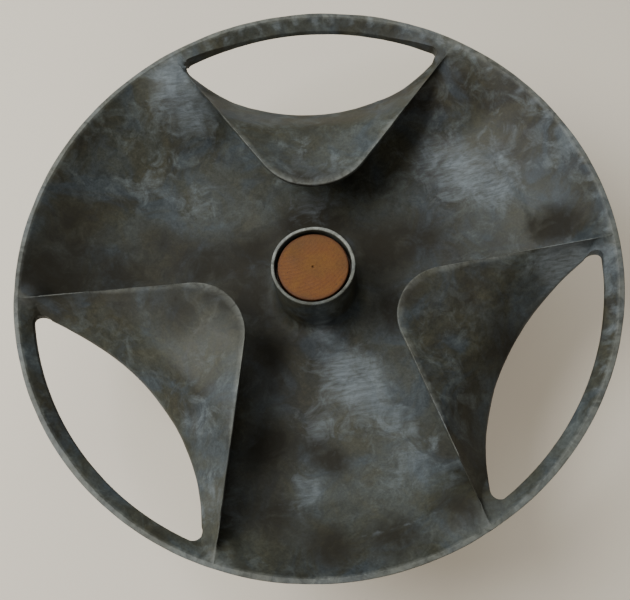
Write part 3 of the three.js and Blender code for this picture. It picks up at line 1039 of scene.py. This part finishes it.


# Where use has left marks, and where light and shade are painted on the stone: the middle of each mark, its
# reach and its strength, in millimetres on the plan. Scuffs lighten, for real scuffs and for painted
# highlights and reflections; stains darken, for real stains and for painted shade and shadows.
# Paler marks: real scuffs, and painted highlights and reflections, such as the sheen on the floor in front of
# the hub and the lit end of the right tongue.
scuff_and_highlight_marks = [
    (180, 104, 46, 1.0), (150, 130, 40, 0.7), (212, 70, 30, 0.9), (200, 95, 30, 0.8),
    (-113, 245, 48, 0.9), (-100, 215, 36, 0.8), (-154, 150, 46, 0.5), (-111, 131, 40, 0.35),
    (15, 112, 60, 0.5), (13, -92, 46, 0.9), (30, -122, 50, 0.8), (-45, -212, 36, 0.6),
    (-25, -140, 36, 0.5), (-134, -211, 46, 0.5), (-140, -130, 46, 0.5), (250, -42, 40, 1.0),
    (244, -40, 34, 1.0), (268, 87, 50, 0.35), (240, 130, 44, 0.4), (64, -205, 50, 0.5),
    (60, -160, 36, 0.4), (0, -50, 18, 0.6), (262, -52, 30, 1.0),
]
# Darker marks: real stains, and painted shade under and beside the tongues, round the hub and on the wall at
# the front.
shade_and_stain_marks = [
    (-270, 50, 60, 1.0), (-160, 95, 44, 0.5), (0, 84, 40, 0.9), (-245, 110, 50, 0.8),
    (-200, 50, 60, 0.8), (-120, 50, 60, 0.8), (-75, 0, 60, 1.0), (20, 75, 50, 1.0),
    (75, 35, 55, 1.0), (120, 40, 50, 0.8), (75, -40, 45, 0.9), (-14, -184, 30, 0.9),
    (-30, -170, 24, 0.6), (190, -120, 60, 0.9), (150, -40, 50, 0.5), (-75, -160, 50, 0.95),
    (-80, -230, 50, 0.8), (-30, -270, 40, 0.85), (30, -272, 40, 0.85), (90, -255, 40, 0.8),
    (135, -230, 36, 0.7), (262, 8, 32, 1.0), (246, 14, 26, 0.9), (-140, -20, 50, 0.6),
    (-190, 0, 40, 0.5), (-60, 62, 50, 0.8), (230, -60, 24, 0.3), (-85, 150, 30, 0.4),
    (-60, -60, 40, 0.8),
]


def marks_round(radius, first, last, step, reach, strength):
    """Small marks in a row at one distance from the axis."""
    turns = np.radians(np.arange(first, last, step))
    return [(radius * math.cos(a), radius * math.sin(a), reach, strength) for a in turns]


# Pale marks along the ring's right and far side paint the highlight where the light from the left falls on
# it. Each flake's lip is chipped pale, and a darker line runs along the step of the first one.
scuff_and_highlight_marks += marks_round(297, -36, 116, 4, 8, 0.6)
scuff_and_highlight_marks += marks_round(245, 14, 26, 1.2, 3.0, 0.6)
scuff_and_highlight_marks += marks_round(265, -90, -74, 1.0, 3.0, 0.45)
shade_and_stain_marks += marks_round(237, 2, 28, 1.4, 4, 0.5)


def mark_stone(mesh, name, marks):
    """Stores how strongly each point is marked, as an attribute that the stone's finish reads."""
    places = point_places(mesh)
    clear = np.ones(len(places))
    for x, y, reach, strength in marks:
        apart = np.hypot(places[:, 0] - x * mm, places[:, 1] - y * mm) / (reach * mm)
        clear *= 1 - strength * np.exp(-2 * apart**2)
    layer = mesh.attributes.new(name, "FLOAT", "POINT")
    layer.data.foreach_set("value", 1 - clear)


def schist():
    """Dark stone, mottled green, blue and brown, rubbed to a dull sheen, with pale scuffs, dark stains and
    worn edges, and with painted highlights and painted shade.
    """
    stone = Nodes("schist", 0.45)
    stone.shader.inputs["Specular IOR Level"].default_value = 0.17
    place = stone.place()
    x, y, z = stone.split(place)
    broad = stone.noise(place, 9, 6, 0.6, 0.5)
    tint = stone.noise(stone.place((1, 1, 1), (20, 40, 10)), 17, 6, 0.62, 1.0)
    cloud = stone.noise(place, 42, 8, 0.65, 0.8)
    grain = stone.noise(place, 420, 6, 0.7)
    streak = stone.noise(stone.place((60, 340, 200), (0, 0, 35)), 1.0, 6, 0.7, 0.4)
    mottle = stone.noise(stone.place((1, 1, 1), (0, 30, 60)), 75, 5, 0.6, 1.5)
    colour = stone.ramp(
        broad,
        [(0.32, (0.016, 0.014, 0.009)), (0.5, (0.028, 0.029, 0.022)), (0.68, (0.041, 0.045, 0.040))],
    )
    colour = stone.mix(stone.ramp(tint, [(0.50, 0.0), (0.62, 0.45)]), colour, (0.033, 0.044, 0.055))
    colour = stone.mix(stone.ramp(tint, [(0.38, 0.5), (0.48, 0.0)]), colour, (0.036, 0.033, 0.019))
    colour = stone.mix(stone.ramp(cloud, [(0.5, 0.0), (0.68, 0.6)]), colour, (0.066, 0.075, 0.071))
    colour = stone.mix(0.55, colour, stone.ramp(mottle, [(0.34, 0.6), (0.64, 1.3)]), "MULTIPLY")
    colour = stone.mix(0.6, colour, stone.ramp(grain, [(0.3, 0.55), (0.7, 1.4)]), "MULTIPLY")

    def marked(name, low, high):
        layer = stone.tree.nodes.new("ShaderNodeAttribute")
        layer.attribute_name = name
        uneven = stone.math("MULTIPLY_ADD", cloud, 1.6, -0.8)
        return stone.ramp(stone.math("ADD", layer.outputs["Fac"], uneven), [(low, 0.0), (high, 1.0)])

    # Darkens real stains and painted shade: the shadows of the hub and the tongues, and the darker wall at
    # the front.
    stain_and_shade_mask = marked("stain_and_shade", 0.25, 0.9)
    colour = stone.mix(stone.math("MULTIPLY", stain_and_shade_mask, 0.88), colour, (0.011, 0.009, 0.005))
    # The scuff attribute lightens real scuffs and painted highlights and reflections towards a pale
    # blue-grey.
    scuff_and_highlight_mask = marked("scuff", 0.3, 1.0)
    scratch_and_highlight_mask = stone.math("MULTIPLY", scuff_and_highlight_mask, stone.ramp(streak, [(0.36, 0.35), (0.6, 1.0)]))
    colour = stone.mix(stone.math("MULTIPLY", scratch_and_highlight_mask, 0.8), colour, (0.120, 0.136, 0.145))
    # Edges that lie in the plane of the rim are painted pale: partly wear from handling, partly a painted
    # highlight along the top edges that catch the light.
    wear_h = 4 * mm
    edge_height = stone.math("MULTIPLY_ADD", cloud, 2.2 * mm, z)
    worn_and_lit_edge = stone.math("MULTIPLY_ADD", edge_height, 1 / wear_h, -(rim_z - 2.4 * mm) / wear_h)
    worn_and_lit_edge = stone.ramp(worn_and_lit_edge, [(0.35, 0.0), (0.85, 1.0)])
    square = stone.math("MULTIPLY_ADD", y, y, stone.math("MULTIPLY", x, x))
    at_hub = stone.math("LESS_THAN", square, (60 * mm) ** 2)
    # The hub's lip gets a painted highlight, strongest at the back and faint at the front, on top of the even
    # wear.
    highlight_towards_back = stone.math("MULTIPLY_ADD", y, 0.45 / hub_r, 0.3)
    wear_and_highlight = stone.math("MULTIPLY", worn_and_lit_edge, stone.math("MULTIPLY_ADD", at_hub, highlight_towards_back, 0.3))
    wear_and_highlight = stone.math("MULTIPLY", wear_and_highlight, stone.ramp(mottle, [(0.35, 0.35), (0.6, 1.0)]))
    colour = stone.mix(wear_and_highlight, colour, (0.21, 0.215, 0.19))
    rough = stone.mix(scuff_and_highlight_mask, stone.ramp(mottle, [(0.3, 0.46), (0.7, 0.60)]), (0.66, 0.66, 0.66))
    rough = stone.mix(stain_and_shade_mask, rough, (0.8, 0.8, 0.8))
    height = stone.math("ADD", stone.math("MULTIPLY", cloud, 0.5), stone.math("MULTIPLY", grain, 0.2))
    height = stone.math("SUBTRACT", height, stone.math("MULTIPLY", scratch_and_highlight_mask, 0.15))
    return stone.finish(colour, rough, stone.bump(height, 0.4, 0.0007))


dish_mesh = turned_mesh("stone_head", dish_profile(), 480)
fill_webs(dish_mesh)
head = new_piece("stone_head", dish_mesh, schist())
cut(head, [opening_mesh(lobe) for lobe in lobes])
cut(head, [tongue_mesh(lobe) for lobe in lobes], "UNION")
cut(head, [tool for lobe in lobes for tool in opening_ends(lobe)])
soften_ends(head.data)
carve_marks(head.data)
mark_stone(head.data, "scuff", scuff_and_highlight_marks)
mark_stone(head.data, "stain_and_shade", shade_and_stain_marks)
head.data.shade_smooth()
head.data.set_sharp_from_angle(angle=math.radians(50))
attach(head, "wheel")
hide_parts("wheel_head")

# -----------------------------------------------------------------------------
# Floor, light and camera
# A pale plain floor, soft daylight from the left, and a camera that looks down at the dish from in front.
# -----------------------------------------------------------------------------
floor_paint = Nodes("pale_floor", 0.9)
floor_finish = floor_paint.finish((0.44, 0.40, 0.335, 1))
floor_mesh = bpy.data.meshes.new("floor")
floor_mesh.from_pydata([(-6, -6, 0), (6, -6, 0), (6, 6, 0), (-6, 6, 0)], [], [[0, 1, 2, 3]])
floor_mesh.materials.append(floor_finish)
floor = add("floor", floor_mesh)
floor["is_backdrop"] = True

world = bpy.data.worlds.new("soft_room")
bpy.context.scene.world = world
world.use_nodes = True
world.node_tree.nodes["Background"].inputs["Color"].default_value = (1.0, 0.93, 0.82, 1)
world.node_tree.nodes["Background"].inputs["Strength"].default_value = 0.22


def soft_light(name, place, aim, size, power, colour):
    lamp = bpy.data.lights.new(name, "AREA")
    lamp.shape = "DISK"
    lamp.size = size
    lamp.energy = power
    lamp.color = colour
    light = add(name, lamp)
    light.location = place
    light.rotation_euler = (Vector(aim) - Vector(place)).to_track_quat("-Z", "Y").to_euler()
    return light


soft_light("window", (-1.2, 0.35, 1.9), (0, 0, 0.15), 1.5, 82, (0.95, 0.98, 1.0))
soft_light("back_panel", (0.1, 1.4, 1.8), (0, 0, 0.15), 1.5, 20, (0.92, 0.97, 1.0))
soft_light("front_fill", (-0.5, -1.7, 1.1), (0, 0, 0.15), 0.8, 12, (1.0, 0.98, 0.95))
# A light for the backdrop alone keeps the floor pale under the wheel.
wash = soft_light("floor_wash", (0, 0, 3.0), (0, 0, 0), 2.0, 42, (1.0, 0.94, 0.85))
backdrop = bpy.data.collections.new("backdrop")
backdrop.objects.link(floor)
wash.light_linking.receiver_collection = backdrop
wash.light_linking.blocker_collection = backdrop

elevation = math.radians(69.55)
roll = math.radians(-10.47)
distance = 0.8707
aim = Vector((-0.0042, -0.0372, rim_z))
back = Vector((0, -math.cos(elevation), math.sin(elevation)))
right = Vector((1, 0, 0))
up = back.cross(right)
level_x = right * math.cos(roll) + up * math.sin(roll)
level_y = up * math.cos(roll) - right * math.sin(roll)
lens = bpy.data.cameras.new("camera")
lens.lens = 50.39
lens.sensor_width = 36
camera = add("camera", lens)
stand_point = aim + back * distance
turned = Matrix((level_x, level_y, back)).transposed().to_4x4()
camera.matrix_world = Matrix.Translation(stand_point) @ turned
bpy.context.scene.camera = camera

low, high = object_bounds()
